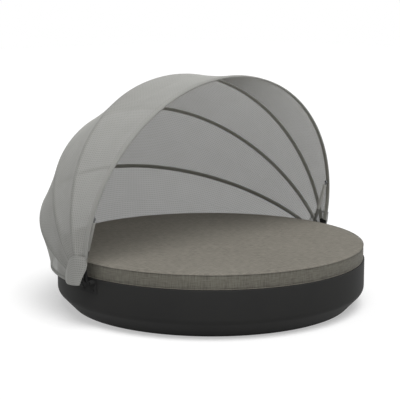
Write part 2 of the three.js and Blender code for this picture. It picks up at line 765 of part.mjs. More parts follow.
function addStrut(side, group) {
  const { length, angle } = strutRest();
  const strut = new THREE.Group();
  strut.position.set(strutPlane, strutFootY, strutFootZ);
  strut.rotation.x = angle;
  group.add(strut);
  addPiece(`gas_cylinder_${side}`, gasCylinder(), FINISH.hardware, strut);
  addPiece(`gas_rod_${side}`, gasRod(length), FINISH.bow, strut);
}

// The stud is set in the front bow and ends beside the rod's eyelet, which it doesn't enter.
function strutStud() {
  const start = eyeletOuter + FIT_GAP;
  const end = bowSide(frontBow, STRUT_STUD_REACH) + BAR_THICKNESS / 4;
  return shaped(crossBar(STUD_RADIUS, start, end), {
    joins: [crossBar(PIN_HEAD_RADIUS, start, start + PIN_HEAD_THICKNESS)],
  });
}

function addRail() {
  const outer = hemRadius - FABRIC_THICKNESS - RAIL_CLEARANCE;
  const inner = outer - RAIL_THICKNESS;
  const last = RING_SIDES / 2 - RAIL_FIRST_FACET;
  const top = hemHeight + RAIL_HEIGHT;
  const rail = curvedPlate(inner, outer, hemHeight, top, RAIL_FIRST_FACET, last);
  addPiece('rear_rail', rail, FINISH.hardware);
  const clipOuter = inner - (RAIL_CLIP_WIDTH / 2) * Math.tan(halfFacet) - FIT_GAP;
  const clipInner = BASE_RADIUS + FIT_GAP;
  ['right', 'rear', 'left'].forEach((where, i) => {
    const block = new THREE.BoxGeometry(clipOuter - clipInner, RAIL_CLIP_WIDTH, RAIL_HEIGHT);
    block.translate((clipOuter + clipInner) / 2, 0, hemHeight + RAIL_HEIGHT / 2);
    const clip = addPiece(`rail_clip_${where}`, block, FINISH.hardware);
    clip.rotation.z = RAIL_CLIP_FACETS[i] * FACET_ANGLE;
  });
}

// The whole daybed
addPiece('base_shell', baseShell(), FINISH.shell);
addPiece('deck_panel', deckPanel(), FINISH.deck);
addBeams();
addLegs();
addGlides();
addPiece('cushion', seatCushion(), FINISH.cushion);
addRail();

BOWS.forEach((bow) => addPiece(bow.name, bowBar(bow), FINISH.bow, bowPlane(bow)));
addPiece('canopy_panel_front', gorePanel(frontBow, secondBow, true), FINISH.fabric);
addPiece('canopy_panel_upper', gorePanel(secondBow, thirdBow, false), FINISH.fabric);
addPiece('canopy_panel_middle', gorePanel(thirdBow, rearBow, false), FINISH.fabric);
addPiece('canopy_panel_rear', rearPanel(), FINISH.fabric);

Object.entries(sides).forEach(([side, group]) => {
  addPiece(`bracket_${side}`, bracket(), FINISH.hardware, group);
  addPiece(`backing_plate_${side}`, backingPlate(), FINISH.frame, group);
  addAxle(side, group);
  addBracketBolts(side, group);
  addStrut(side, group);
  const stud = addPiece(`strut_stud_${side}`, strutStud(), FINISH.hardware, group);
  const angle = frontBow.angle * DEGREE;
  stud.position.set(
    0,
    AXLE_Y + STRUT_STUD_REACH * Math.cos(angle),
    axleHeight + STRUT_STUD_REACH * Math.sin(angle),
  );
  addPiece(`apron_${side}`, sideApron(), FINISH.fabric, group);
});

export default daybed;
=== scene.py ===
# %% [markdown]
# # An outdoor daybed with a folding canopy
#
# The real object is a round moulded drum with a thick seat cushion. Four bent aluminium
# bows turn on one axle across the drum and carry a mesh canopy, which folds down behind the
# seat. This lesson dresses a imported CAD model: the CAD pieces fix every size and joint, and
# each piece made here rides on one of their moving bodies.
#
# The first step is always the same. The frame is loaded.

import math

import bpy
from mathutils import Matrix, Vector


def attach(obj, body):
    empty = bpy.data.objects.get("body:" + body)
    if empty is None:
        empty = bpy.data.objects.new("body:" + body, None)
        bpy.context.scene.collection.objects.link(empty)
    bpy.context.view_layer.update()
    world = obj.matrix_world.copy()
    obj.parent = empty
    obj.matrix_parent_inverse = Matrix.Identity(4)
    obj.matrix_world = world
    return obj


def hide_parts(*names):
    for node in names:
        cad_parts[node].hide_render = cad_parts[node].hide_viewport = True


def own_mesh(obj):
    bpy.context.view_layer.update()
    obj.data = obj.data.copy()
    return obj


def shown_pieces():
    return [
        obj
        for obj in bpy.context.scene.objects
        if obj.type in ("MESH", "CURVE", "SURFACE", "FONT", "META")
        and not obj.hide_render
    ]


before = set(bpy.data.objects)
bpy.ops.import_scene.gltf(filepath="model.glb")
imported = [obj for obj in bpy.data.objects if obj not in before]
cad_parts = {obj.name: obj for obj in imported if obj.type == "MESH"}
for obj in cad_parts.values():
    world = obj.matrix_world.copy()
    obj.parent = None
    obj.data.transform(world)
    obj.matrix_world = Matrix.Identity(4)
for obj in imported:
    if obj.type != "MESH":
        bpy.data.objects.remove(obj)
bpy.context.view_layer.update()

# %% [markdown]
# ## Small helpers
#
# Blender's operators act on whatever is selected. Nearly every mistake in a modelling script
# comes from something that was still selected, so one helper clears the selection first,
# one clears it before it adds a primitive, and two pick faces or edges by where they are.
# That is the same as clicking on them.

# %% Pick what the next operator works on
def work_on(*pieces):
    if bpy.context.object and bpy.context.object.mode != "OBJECT":
        bpy.ops.object.mode_set(mode="OBJECT")
    bpy.ops.object.select_all(action="DESELECT")
    for piece in pieces:
        piece.select_set(True)
    bpy.context.view_layer.objects.active = pieces[0]


def add(primitive, **settings):
    """Adds a primitive, lamp or camera with nothing else selected."""
    bpy.ops.object.select_all(action="DESELECT")
    primitive(**settings)
    return bpy.context.object


def pick_nothing(piece, mode):
    work_on(piece)
    bpy.ops.object.mode_set(mode="EDIT")
    bpy.ops.mesh.select_mode(type=mode)
    bpy.ops.mesh.select_all(action="DESELECT")
    bpy.ops.object.mode_set(mode="OBJECT")


def pick_faces(piece, wanted):
    """Opens edit mode with the faces selected whose centre and normal pass the test."""
    pick_nothing(piece, "FACE")
    for face in piece.data.polygons:
        face.select = wanted(face.center, face.normal)
    bpy.ops.object.mode_set(mode="EDIT")


def pick_edges(piece, wanted):
    """Opens edit mode with the edges selected whose two ends pass the test."""
    pick_nothing(piece, "EDGE")
    points = [vertex.co for vertex in piece.data.vertices]
    for edge in piece.data.edges:
        edge.select = wanted(points[edge.vertices[0]], points[edge.vertices[1]])
    bpy.ops.object.mode_set(mode="EDIT")


def close_edit():
    bpy.ops.object.mode_set(mode="OBJECT")


# %% Apply modifiers and transforms
def modify(piece, kind, **settings):
    """Adds a modifier with its settings and applies it at once."""
    work_on(piece)
    modifier = piece.modifiers.new(kind.title(), kind)
    for name, value in settings.items():
        setattr(modifier, name, value)
    bpy.ops.object.modifier_apply(modifier=modifier.name)


def chamfer(piece, width, segments, degrees):
    """Bevels the edges that turn by more than an angle."""
    modify(piece, "BEVEL", width=width, segments=segments, limit_method="ANGLE",
           angle_limit=math.radians(degrees))


def settle(piece):
    """Writes the object's place, turn and size into its mesh."""
    work_on(piece)
    bpy.ops.object.transform_apply(location=True, rotation=True, scale=True)


def join(*pieces):
    work_on(*pieces)
    bpy.ops.object.join()
    return bpy.context.object


def smooth(piece, degrees=35):
    work_on(piece)
    bpy.ops.object.shade_smooth_by_angle(angle=math.radians(degrees))


def recalculate(piece):
    pick_faces(piece, lambda centre, normal: True)
    bpy.ops.mesh.remove_doubles(threshold=1e-6)
    bpy.ops.mesh.normals_make_consistent(inside=False)
    close_edit()


# %% [markdown]
# ## Dressing a piece
#
# A finished piece gets three things: a name, a material, and a body that it rides on. Where it
# stands for CAD nodes, they are hidden, and they stay in the motion model.

# %% Name a piece and seat it on its body
def dress(piece, name, body, finish, slot, *nodes):
    piece.name = name
    piece.data.name = name
    piece.data.materials.clear()
    piece.data.materials.append(finish)
    if nodes:
        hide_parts(*nodes)
    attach(piece, body)
    return piece


# %% [markdown]
# ## Sizes
#
# These are the sizes of the CAD source, in metres. The drum and the bows are made from them
# again with finer steps, so that every new piece lies where its CAD node lies.

# %% Drum and cushion sizes
DRUM_RADIUS = 1.050
DRUM_TOP = 0.320
TAPER_TOP = 0.114
DRUM_FOOT_RADIUS = 0.946
DRUM_FOOT = 0.004
CUSHION_RADIUS = 1.043
CUSHION_BOTTOM = 0.3203
CUSHION_EDGE = 0.4183
CUSHION_CROWN = 0.009
DRUM_WALL = 0.006
LIP_WIDTH = 0.060
RIM_WIDTH = 0.058
DECK_RECESS = 0.017
LEDGE_WIDTH = 0.042
ROUND_STEPS = 192

# %% Bow and canopy sizes
AXLE_Y = -0.032
AXLE_Z = 0.296
CENTRE_RISE = 0.198
BAR_WIDTH = 0.028
BAR_THICKNESS = 0.009
CLOTH_GAP = 0.0003
CLOTH_THICKNESS = 0.0006
# Nest counts the widths and heights down: the bows lie inside one another when folded.
NEST_STEP = 0.011
OUTER_HALF_WIDTH = 1.151
OUTER_HALF_HEIGHT = 1.090
BOWS = {
    "front": {"angle": 98.3, "nest": 2},
    "second": {"angle": 73.8, "nest": 0},
    "third": {"angle": 50.0, "nest": 1},
    "rear": {"angle": 23.9, "nest": 3},
}
for bow in BOWS.values():
    bow["half_width"] = OUTER_HALF_WIDTH - NEST_STEP * bow["nest"]
    bow["half_height"] = OUTER_HALF_HEIGHT - NEST_STEP * bow["nest"]
    bow["end"] = math.acos(-CENTRE_RISE / bow["half_height"])
print("bow ends:", {name: round(math.degrees(bow["end"]), 2) for name, bow in BOWS.items()})

# %% [markdown]
# ## Camera
#
# The photograph was matched by fitting a camera to the edges of the cushion and the drum and
# to the arcs of the bows. It stands to the front left, ten degrees above the seat, and looks
# through a long lens, so the far side is hardly smaller than the near one.

# %% Set the camera
CAMERA_TURN = math.radians(-43.14)
CAMERA_RISE = math.radians(9.813)
CAMERA_PLACE = (-5.70528, -5.98005, 2.12638)
FOCAL_PIXELS = 1226.92
PICTURE_PIXELS = 400
SENSOR_MM = 36
camera_back = Vector((
    math.sin(CAMERA_TURN) * math.cos(CAMERA_RISE),
    -math.cos(CAMERA_TURN) * math.cos(CAMERA_RISE),
    math.sin(CAMERA_RISE),
))
camera = add(bpy.ops.object.camera_add, location=CAMERA_PLACE)
camera.name = "camera"
camera.rotation_euler = camera_back.to_track_quat("Z", "Y").to_euler()
camera.data.sensor_width = SENSOR_MM
camera.data.lens = FOCAL_PIXELS * SENSOR_MM / PICTURE_PIXELS
camera.data.dof.use_dof = False
bpy.context.scene.camera = camera
bpy.context.scene.view_settings.view_transform = "Standard"
print("lens:", round(camera.data.lens, 2), "mm")

# %% [markdown]
# ## Materials
#
# Every material starts from what the real one is. Colours are written as the hex values that
# one reads off a screen, and one function turns them into the linear values that a shader
# works with. The other small functions add a node with its settings and its links.

# %% Colour and node helpers
def linear(hex_code):
    values = []
    for start in (1, 3, 5):
        share = int(hex_code[start:start + 2], 16) / 255
        if share <= 0.04045:
            values.append(share / 12.92)
        else:
            values.append(((share + 0.055) / 1.055) ** 2.4)
    return (*values, 1.0)


def new_finish(name, base, roughness, metallic=0.0):
    finish = bpy.data.materials.new(name)
    finish.use_nodes = True
    shader = finish.node_tree.nodes["Principled BSDF"]
    shader.inputs["Base Color"].default_value = linear(base)
    shader.inputs["Roughness"].default_value = roughness
    shader.inputs["Metallic"].default_value = metallic
    return finish, finish.node_tree, shader


def add_node(tree, kind, inputs=None, **settings):
    """Adds a node. An input's value is a number or colour, or the socket that feeds it."""
    node = tree.nodes.new(kind)
    for name, value in settings.items():
        setattr(node, name, value)
    for name, value in (inputs or {}).items():
        if isinstance(value, bpy.types.NodeSocket):
            tree.links.new(value, node.inputs[name])
        else:
            node.inputs[name].default_value = value
    return node


def calculate(tree, operation, *values):
    return add_node(tree, "ShaderNodeMath", dict(enumerate(values)),
                    operation=operation).outputs["Value"]


def remap(tree, value, low, high, start=0.0, end=1.0, **settings):
    """Turns the range from start to end into the range from low to high."""
    return add_node(tree, "ShaderNodeMapRange", {
        "Value": value, "From Min": start, "From Max": end, "To Min": low, "To Max": high,
    }, **settings).outputs["Result"]


def noise(tree, where, scale, detail):
    return add_node(tree, "ShaderNodeTexNoise", {
        "Vector": where, "Scale": scale, "Detail": detail,
    }).outputs["Fac"]


def emboss(tree, shader, height, strength, distance, **settings):
    bump = add_node(tree, "ShaderNodeBump", {
        "Height": height, "Strength": strength, "Distance": distance,
    }, **settings)
    tree.links.new(bump.outputs["Normal"], shader.inputs["Normal"])


def blend_colours(tree, share, first, second):
    """A ramp from one hex colour to another over a share of 0 to 1."""
    ramp = add_node(tree, "ShaderNodeValToRGB", {"Fac": share})
    ramp.color_ramp.elements[0].color = linear(first)
    ramp.color_ramp.elements[1].color = linear(second)
    return ramp.outputs["Color"]


# %% [markdown]
# ### Moulded polyethylene
#
# The drum is a hollow moulding of dark grey polyethylene. Such a moulding has a soft, even
# gloss and a faint orange-peel texture a few millimetres across, which breaks up the
# highlight. A little dust and handling wear lightens it in large, weak patches.

# %% The drum's plastic
PEEL_PER_METRE = 160.0
GLOSS_FROM, GLOSS_TO = 0.52, 0.66
plastic, tree, shader = new_finish("rotomoulded_polyethylene", "#333333", GLOSS_FROM)
where = add_node(tree, "ShaderNodeTexCoord").outputs["Object"]
patches = noise(tree, where, 3.0, 4.0)
tone = blend_colours(tree, patches, "#2e2e2e", "#363635")
tree.links.new(tone, shader.inputs["Base Color"])
# Orange peel: grains of about 6 mm.
emboss(tree, shader, noise(tree, where, PEEL_PER_METRE, 2.0), 0.12, 0.0006)
gloss = remap(tree, patches, GLOSS_FROM, GLOSS_TO)
tree.links.new(gloss, shader.inputs["Roughness"])
shader.inputs["Specular IOR Level"].default_value = 0.05

# %% [markdown]
# ### Woven acrylic cover
#
# The cushion's cover is a flat outdoor weave with slubs, like linen: threads of slightly
# different greys run both ways, and none shows alone from a few metres. Two long, thin
# noises give the slubs, one for each direction. The thread itself is 1.5 mm wide, which is
# too fine to show, so the regular rib is drawn at 9 mm.

# %% A woven cloth from two directions
SLUBS_ACROSS = 200.0
SLUBS_ALONG = 16.0
RIB_PITCH = 0.009
BROAD_WEIGHT = 0.25
TONE_FROM, TONE_TO = 0.86, 1.40


def woven_cloth(name, along, across, dark, light, rib):
    """A cover cloth. along and across build the two thread coordinates, in metres."""
    finish, tree, shader = new_finish(name, light, 0.92)
    where = add_node(tree, "ShaderNodeTexCoord").outputs["Object"]
    split = add_node(tree, "ShaderNodeSeparateXYZ", {"Vector": where})
    warp = along(tree, split)
    weft = across(tree, split)
    # A slub is about 1.5 mm thick, drawn at 5 mm, and 60 mm long.
    slubs = []
    for fine, long in ((warp, weft), (weft, warp)):
        grid = add_node(tree, "ShaderNodeCombineXYZ", {
            "X": calculate(tree, "MULTIPLY", fine, SLUBS_ACROSS),
            "Y": calculate(tree, "MULTIPLY", long, SLUBS_ALONG),
        })
        slubs.append(noise(tree, grid.outputs["Vector"], 1.0, 2.0))
    threads = calculate(tree, "ADD", *slubs)
    # The rib is one wave to a pitch.
    phase = calculate(tree, "MULTIPLY", warp, 2 * math.pi / RIB_PITCH)
    wave = calculate(tree, "SINE", phase)
    ribbed = calculate(tree, "MULTIPLY_ADD", wave, rib, threads)
    broad = noise(tree, where, 2.2, 3.0)
    mixed = calculate(tree, "MULTIPLY_ADD", broad, BROAD_WEIGHT, ribbed)
    share = remap(tree, mixed, 0.0, 1.0, TONE_FROM, TONE_TO)
    tree.links.new(blend_colours(tree, share, dark, light), shader.inputs["Base Color"])
    emboss(tree, shader, ribbed, 0.25, 0.0008)
    shader.inputs["Sheen Weight"].default_value = 0.08
    shader.inputs["Sheen Roughness"].default_value = 0.5
    shader.inputs["Specular IOR Level"].default_value = 0.2
    return finish


def round_the_drum(tree, split):
    """The distance round the cushion's side, from the angle about the middle."""
    angle = calculate(tree, "ARCTAN2", split.outputs["Y"], split.outputs["X"])
    return calculate(tree, "MULTIPLY", angle, CUSHION_RADIUS)


# %% The cushion's three cloths, with painted shade on the side
top_cloth = woven_cloth(
    "woven_acrylic_top",
    lambda tree, split: split.outputs["X"],
    lambda tree, split: split.outputs["Y"],
    "#6b675f", "#8b877d", 0.04,
)
# The side is the same weave in darker tones: painted shade on the upright faces, which the lamp
# from above lights less.
side_cloth_painted_shade = woven_cloth(
    "woven_acrylic_side_painted_shade",
    round_the_drum,
    lambda tree, split: split.outputs["Z"],
    "#5f5c54", "#7c7a70", 0.16,
)
welt_cloth = woven_cloth(
    "woven_acrylic_welt",
    round_the_drum,
    lambda tree, split: split.outputs["Z"],
    "#716d63", "#85817a", 0.05,
)
print("cloths:", top_cloth.name, side_cloth_painted_shade.name, welt_cloth.name)

# %% [markdown]
# ### Coated mesh fabric
#
# The canopy is a mesh of polyester threads with a vinyl coat. About a quarter of it is
# holes, so one layer lets light through and dims what is behind it. The real pitch is about
# 2 mm, too fine for the picture, so it is drawn at 15 mm and softly: each drawn thread or
# hole stands for a patch of mesh, so both let some light through, the hole more. Seen at a
# steep slant the threads hide the holes, so there the mesh closes: the top of the canopy
# looks dense, while the bows of the far side show through the near one. The pattern follows
# the sheet's own UV map, which is in metres, and so it keeps its size where the sheet bends.
# The hems, seams and flaps have the same mesh folded or sewn double, so they are denser. The
# hems and seams are also drawn darker, as painted shade, and the flaps a little lighter, as
# painted light.

# %% The canopy's mesh
MESH_PITCH = 0.015
HOLE_EDGES = (0.18, 0.28)
SLANT_POWER = 5.0
CLOSED_ALPHA = 0.98
THREAD_WEIGHT = 0.25


def mesh_fabric(name, dark, light, hole_alpha, thread_alpha):
    finish, tree, shader = new_finish(name, light, 0.85)
    uv = add_node(tree, "ShaderNodeTexCoord").outputs["UV"]
    split = add_node(tree, "ShaderNodeSeparateXYZ", {"Vector": uv})
    gaps = []
    for way in ("X", "Y"):
        fold = calculate(tree, "PINGPONG", split.outputs[way], MESH_PITCH / 2)
        gaps.append(remap(tree, fold, 0.0, 1.0, HOLE_EDGES[0] * MESH_PITCH,
                          HOLE_EDGES[1] * MESH_PITCH, interpolation_type="SMOOTHSTEP"))
    hole = calculate(tree, "MULTIPLY", *gaps)
    cover = remap(tree, hole, thread_alpha, hole_alpha)
    facing = add_node(tree, "ShaderNodeLayerWeight").outputs["Facing"]
    slant = calculate(tree, "POWER", facing, SLANT_POWER)
    tree.links.new(remap(tree, slant, cover, CLOSED_ALPHA), shader.inputs["Alpha"])
    cloudy = noise(tree, uv, 5.0, 4.0)
    thread = calculate(tree, "MULTIPLY_ADD", gaps[0], THREAD_WEIGHT, cloudy)
    tree.links.new(blend_colours(tree, thread, dark, light), shader.inputs["Base Color"])
    emboss(tree, shader, hole, 0.2, 0.0008, invert=True)
    shader.inputs["Specular IOR Level"].default_value = 0.2
    return finish


fabric = mesh_fabric("vinyl_coated_mesh", "#aaaaa6", "#b9b9b5", 0.43, 0.61)
# The hems and seams are drawn darker than the canopy's cloth: painted shade.
hem_fabric_painted_shade = mesh_fabric("vinyl_coated_mesh_hem_painted_shade", "#999995", "#a8a8a4", 0.78, 0.93)
seam_fabric_painted_shade = mesh_fabric("vinyl_coated_mesh_seam_painted_shade", "#8f8f8b", "#9e9e9a", 0.80, 0.95)
# The flaps are drawn a little lighter than the canopy: painted light on cloth that hangs in
# shade.
flap_fabric_painted_light = mesh_fabric("vinyl_coated_mesh_flap_painted_light", "#aeaeaa", "#bdbdb9", 0.50, 0.68)

# %% [markdown]
# ### Metals, rubber and board
#
# The bows have a satin olive-grey powder coat, which is an insulating paint film: it isn't
# metallic, and it has a fine, even grain. Their lowest ends and the brackets are dipped in
# matt black plastic, which hides them in the shade, and the rail has a black powder coat.
# The struts' tubes and shrouds are painted grey, their rods are dark nitrided steel, and the
# bolts are zinc-plated and blackened. The beams under the deck are bare anodised aluminium,
# the feet are rubber, and the deck is a dark coated board.

# %% Powder coats and bare metals
MM_PER_METRE = 1000.0


def grained(name, base, roughness, metallic, grain_mm, depth, spread=0.06):
    """A finish with an even grain of a real size, in the bump and the roughness."""
    finish, tree, shader = new_finish(name, base, roughness, metallic)
    where = add_node(tree, "ShaderNodeTexCoord").outputs["Object"]
    grain = noise(tree, where, MM_PER_METRE / grain_mm, 2.0)
    emboss(tree, shader, grain, 0.15, depth)
    rough = remap(tree, grain, roughness - spread, roughness + spread)
    tree.links.new(rough, shader.inputs["Roughness"])
    return finish


bow_coat = grained("olive_grey_powder_coat", "#a2a29b", 0.5, 0.0, 1.5, 0.0002)
shroud_coat = grained("grey_painted_tube", "#a8a8a3", 0.45, 0.0, 1.5, 0.0002)
tube_coat = grained("dark_grey_painted_tube", "#6a6a66", 0.45, 0.0, 1.5, 0.0002)
plate_coat = grained("black_dipped_steel", "#303030", 0.7, 0.0, 1.5, 0.0002)
black_coat = grained("black_powder_coat", "#202021", 0.5, 0.0, 1.5, 0.0002)
black_steel = grained("blackened_zinc_steel", "#2c2c2b", 0.45, 1.0, 2.0, 0.0001)
rod_steel = grained("nitrided_steel", "#77787a", 0.24, 1.0, 3.0, 0.00005, 0.03)
beam_metal = grained("anodised_aluminium", "#a9abad", 0.38, 1.0, 2.5, 0.0001)
foot_rubber = grained("moulded_rubber", "#232323", 0.75, 0.0, 2.0, 0.0003)
deck_board = grained("phenolic_coated_board", "#3b332c", 0.55, 0.0, 3.0, 0.0003)
dipped = plate_coat.node_tree.nodes["Principled BSDF"]
dipped.inputs["Specular IOR Level"].default_value = 0.05
print("materials:", len(bpy.data.materials))

# %% [markdown]
# ## The drum
#
# It could be drawn as a turned outline, but a cylinder that is pushed into shape shows each
# feature as one step: the bottom face is drawn down and in for the taper, both end faces are
# inset for the lip and the rim, and the top is sunk for the deck. Solidify then gives the
# wall its thickness.

# %% Start from the drum's upright wall
drum = add(
    bpy.ops.mesh.primitive_cylinder_add, vertices=ROUND_STEPS, radius=DRUM_RADIUS,
    depth=DRUM_TOP - TAPER_TOP, location=(0, 0, (DRUM_TOP + TAPER_TOP) / 2),
)
settle(drum)

# %% Draw the taper down to the foot and open the bottom
pick_faces(drum, lambda centre, normal: normal.z < -0.9)
bpy.ops.mesh.extrude_region_move(
    TRANSFORM_OT_translate={"value": (0, 0, DRUM_FOOT - TAPER_TOP)})
foot_share = DRUM_FOOT_RADIUS / DRUM_RADIUS
bpy.ops.transform.resize(value=(foot_share, foot_share, 1))
bpy.ops.mesh.inset(thickness=LIP_WIDTH)
bpy.ops.mesh.delete(type="FACE")
close_edit()

# %% Sink the recess for the deck and leave its ledge
pick_faces(drum, lambda centre, normal: normal.z > 0.9)
bpy.ops.mesh.inset(thickness=RIM_WIDTH)
bpy.ops.mesh.extrude_region_move(TRANSFORM_OT_translate={"value": (0, 0, -DECK_RECESS)})
bpy.ops.mesh.inset(thickness=LEDGE_WIDTH)
bpy.ops.mesh.delete(type="FACE")
close_edit()

# %% Round the corners as a mould does
SAME_HEIGHT = 1e-4
SAME_REACH = 2e-3


def ring_edge(height, radius):
    def wanted(a, b):
        return all(abs(point.z - height) < SAME_HEIGHT
                   and abs(math.hypot(point.x, point.y) - radius) < SAME_REACH
                   for point in (a, b))
    return wanted


# Each row: the edge's height and radius, how far it is cut back, and its segments.
for height, radius, offset, segments in (
    (DRUM_TOP, DRUM_RADIUS, 0.004, 3),
    (TAPER_TOP, DRUM_RADIUS, 0.022, 6),
    (DRUM_FOOT, DRUM_FOOT_RADIUS, 0.006, 3),
    (DRUM_TOP, DRUM_RADIUS - RIM_WIDTH, 0.002, 2),
):
    pick_edges(drum, ring_edge(height, radius))
    bpy.ops.mesh.bevel(offset=offset, segments=segments, affect="EDGES")
    close_edit()
modify(drum, "SOLIDIFY", thickness=DRUM_WALL, offset=-1.0)
smooth(drum)
dress(drum, "drum", "base", plastic, "shell", "base_shell")
print("drum faces:", len(drum.data.polygons))

# %% [markdown]
# ## The cushion
#
# A foam cushion in a sewn cover looks almost hard-edged from far off, but its top swells a
# little and its side isn't quite a cylinder. Cloth simulation gives that: the cover is
# remeshed evenly, held along its two seams, and blown up softly. The swelling is capped at a
# few millimetres, because the foam is firm.

# %% Shape the cushion's block
BLOCK_INSET = 0.002
BLOCK_TRIM = 0.003
BLOCK_DROP = 0.001
VOXEL = 0.0165
cushion = add(
    bpy.ops.mesh.primitive_cylinder_add, vertices=ROUND_STEPS,
    radius=CUSHION_RADIUS - BLOCK_INSET, depth=CUSHION_EDGE - CUSHION_BOTTOM - BLOCK_TRIM,
    location=(0, 0, (CUSHION_EDGE + CUSHION_BOTTOM) / 2 - BLOCK_DROP),
)
settle(cushion)
cushion.data.remesh_voxel_size = VOXEL
cushion.data.use_remesh_preserve_volume = True
work_on(cushion)
bpy.ops.object.voxel_remesh()
print("cushion points:", len(cushion.data.vertices))

# %% Hold the cover at its seams
SIDE_FROM = CUSHION_RADIUS - 0.016
SEAM_BAND = 0.014
SEAM_HOLD = 0.9
seams = cushion.vertex_groups.new(name="seams")
for vertex in cushion.data.vertices:
    reach = math.hypot(vertex.co.x, vertex.co.y)
    edge = min(abs(vertex.co.z - CUSHION_EDGE), abs(vertex.co.z - CUSHION_BOTTOM))
    if reach > SIDE_FROM and edge < SEAM_BAND:
        seams.add([vertex.index], SEAM_HOLD, "REPLACE")

# %% Blow it up and cap the swelling
SWELL_CAP = 0.006
PRESSURE = 4.0
CLOTH_FRAMES = 20


def inflate(piece, pressure, frames, cap):
    """Runs the cloth, applies it, and lets no point move farther than the cap."""
    before = [vertex.co.copy() for vertex in piece.data.vertices]
    work_on(piece)
    cloth = piece.modifiers.new("Cloth", "CLOTH")
    cloth.settings.use_pressure = True
    cloth.settings.uniform_pressure_force = pressure
    cloth.settings.effector_weights.gravity = 0
    cloth.settings.vertex_group_mass = "seams"
    cloth.settings.quality = 4
    scene = bpy.context.scene
    scene.frame_start = 1
    scene.frame_end = frames
    for step in range(1, frames + 1):
        scene.frame_set(step)
    bpy.ops.object.modifier_apply(modifier=cloth.name)
    scene.frame_set(1)
    farthest = 0.0
    for vertex, start in zip(piece.data.vertices, before):
        move = vertex.co - start
        farthest = max(farthest, move.length)
        if move.length > cap:
            vertex.co = start + move * (cap / move.length)
    print("swelling before the cap:", round(farthest * 1000, 1), "mm")


inflate(cushion, PRESSURE, CLOTH_FRAMES, SWELL_CAP)
cushion.vertex_groups.clear()

# %% Crown the top and keep the bottom flat
TOP_FROM = 0.37
CROWN_REACH = 0.995
CROWN_SHARE = 0.6
CROWN_SPARE = 0.004
SIDE_SLOPE = 0.6
for vertex in cushion.data.vertices:
    reach = min(1.0, math.hypot(vertex.co.x, vertex.co.y) / CUSHION_RADIUS)
    if vertex.co.z > TOP_FROM and reach < CROWN_REACH:
        vertex.co.z += CROWN_SHARE * CUSHION_CROWN * (1 - reach ** 2)
    vertex.co.z = max(vertex.co.z, CUSHION_BOTTOM)
    vertex.co.z = min(vertex.co.z, CUSHION_EDGE + CUSHION_CROWN + CROWN_SPARE)
    if vertex.co.x or vertex.co.y:
        pull = min(1.0, CUSHION_RADIUS / math.hypot(vertex.co.x, vertex.co.y))
        vertex.co.x *= pull
        vertex.co.y *= pull
modify(cushion, "SUBSURF", levels=1, render_levels=1)
smooth(cushion, 60)
dress(cushion, "cushion_cover", "base", top_cloth, "cushion", "cushion")
# Upright faces take the side cloth, whose darker tones are painted shade.
cushion.data.materials.append(side_cloth_painted_shade)
for face in cushion.data.polygons:
    face.material_index = 1 if abs(face.normal.z) < SIDE_SLOPE else 0
print("cushion faces:", len(cushion.data.polygons))

# %% [markdown]
# The cover is sewn from two round panels and a boxing strip, and each join has a thin welt.
# A torus is a piped welt as it is: a ring with a round section.

# %% Sew the two welts
WELT_RADIUS = 0.0025
WELT_OFF = 0.004
for name, height, inset in (("cushion_welt_top", CUSHION_EDGE - WELT_OFF, 0.0030),
                            ("cushion_welt_bottom", CUSHION_BOTTOM + WELT_OFF, 0.0045)):
    welt = add(
        bpy.ops.mesh.primitive_torus_add, location=(0, 0, height), major_segments=256,
        minor_segments=10, major_radius=CUSHION_RADIUS - inset, minor_radius=WELT_RADIUS,
    )
    settle(welt)
    smooth(welt, 80)
    dress(welt, name, "base", welt_cloth, "cushion")

# %% [markdown]
# ## The bows
#
# Each bow is a flat bar, bent over part of an ellipse, with a round eye at each end for the
# axle. The bar's section is spun round a circle first. A circle that is stretched sideways is
# an ellipse, so one resize gives the real arch. The whole bow is then turned to its angle
# about the axle.

# %% Spin, stretch and turn the bar of one bow
ARCH_STEPS = 176
BAR_FILLET = 0.0022


def make_bow(name, bow):
    """A bow in its own plane, X across and Z up from the axle, then turned to its angle."""
    bar = add(bpy.ops.mesh.primitive_plane_add, size=1)
    bar.scale = (BAR_THICKNESS, BAR_WIDTH, 1)
    settle(bar)
    # The flat section lies in the XY plane, so at the arch's rightmost point it already
    # faces along the bow. It starts there and is turned back to the bow's end.
    bar.location = (bow["half_height"], 0, 0)
    settle(bar)
    bar.rotation_euler = (0, bow["end"] - math.pi / 2, 0)
    settle(bar)
    pick_faces(bar, lambda centre, normal: True)
    bpy.ops.mesh.spin(
        steps=ARCH_STEPS, angle=2 * bow["end"], center=(0, 0, 0), axis=(0, 1, 0),
    )
    close_edit()
    bar.scale = (bow["half_width"] / bow["half_height"], 1, 1)
    bar.location = (0, 0, CENTRE_RISE)
    settle(bar)
    recalculate(bar)
    chamfer(bar, BAR_FILLET, 3, 60)
    return bar


# %% Bore one eye
EYE_RADIUS = 0.014
EYE_DEPTH = 0.008
EYE_WALL = 0.0077
EYE_FILLET = 0.0008


def make_eye():
    """A flat ring on the axle, made from a disc whose two faces are inset and bridged."""
    eye = add(bpy.ops.mesh.primitive_cylinder_add, vertices=48, radius=EYE_RADIUS,
              depth=EYE_DEPTH, rotation=(0, math.pi / 2, 0))
    settle(eye)
    pick_faces(eye, lambda centre, normal: abs(normal.x) > 0.9)
    bpy.ops.mesh.inset(thickness=EYE_WALL)
    bpy.ops.mesh.delete(type="FACE")
    close_edit()
    pick_edges(eye, lambda a, b: max(math.hypot(a.y, a.z), math.hypot(b.y, b.z))
               < EYE_RADIUS / 2)
    bpy.ops.mesh.bridge_edge_loops()
    close_edit()
    chamfer(eye, EYE_FILLET, 2, 50)
    return eye


def copy_to(piece, place):
    """A copy with its own mesh, moved to a place."""
    twin = piece.copy()
    twin.data = piece.data.copy()
    bpy.context.collection.objects.link(twin)
    twin.location = place
    settle(twin)
    return twin


